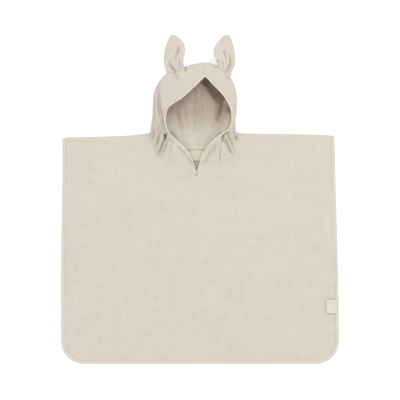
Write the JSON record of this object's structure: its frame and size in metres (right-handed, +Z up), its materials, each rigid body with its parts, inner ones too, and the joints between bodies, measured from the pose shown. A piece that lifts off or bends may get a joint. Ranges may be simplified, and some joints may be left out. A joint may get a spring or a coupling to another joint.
{
  "type": "hooded bath poncho",
  "caption": "Child's hooded terry bath poncho with two long ears, laid flat on its back with the hood open upwards.",
  "frame": {"origin": "on the surface it lies on, below the middle of the garment's whole outline", "axes": "+Z up from the surface through the cloth, +Y from the bottom hem to the ears, +X across the shoulders towards the side with the label"},
  "size_m": [0.6256, 0.7378, 0.0507],
  "materials": {
    "terry": "looped cotton pile",
    "edging": "turned and bound cotton edges",
    "label_tape": "smooth woven tape"
  },
  "bodies": {
    "root": {"front_panel": "terry", "back_panel": "terry", "front_hem": "edging", "back_hem": "edging", "hood_left": "terry", "hood_right": "terry", "opening_edge_left": "edging", "opening_edge_right": "edging", "neck_facing": "terry", "ear_left_back": "terry", "ear_left_front": "terry", "ear_right_back": "terry", "ear_right_front": "terry", "label": "label_tape"}
  },
  "joints": []
}
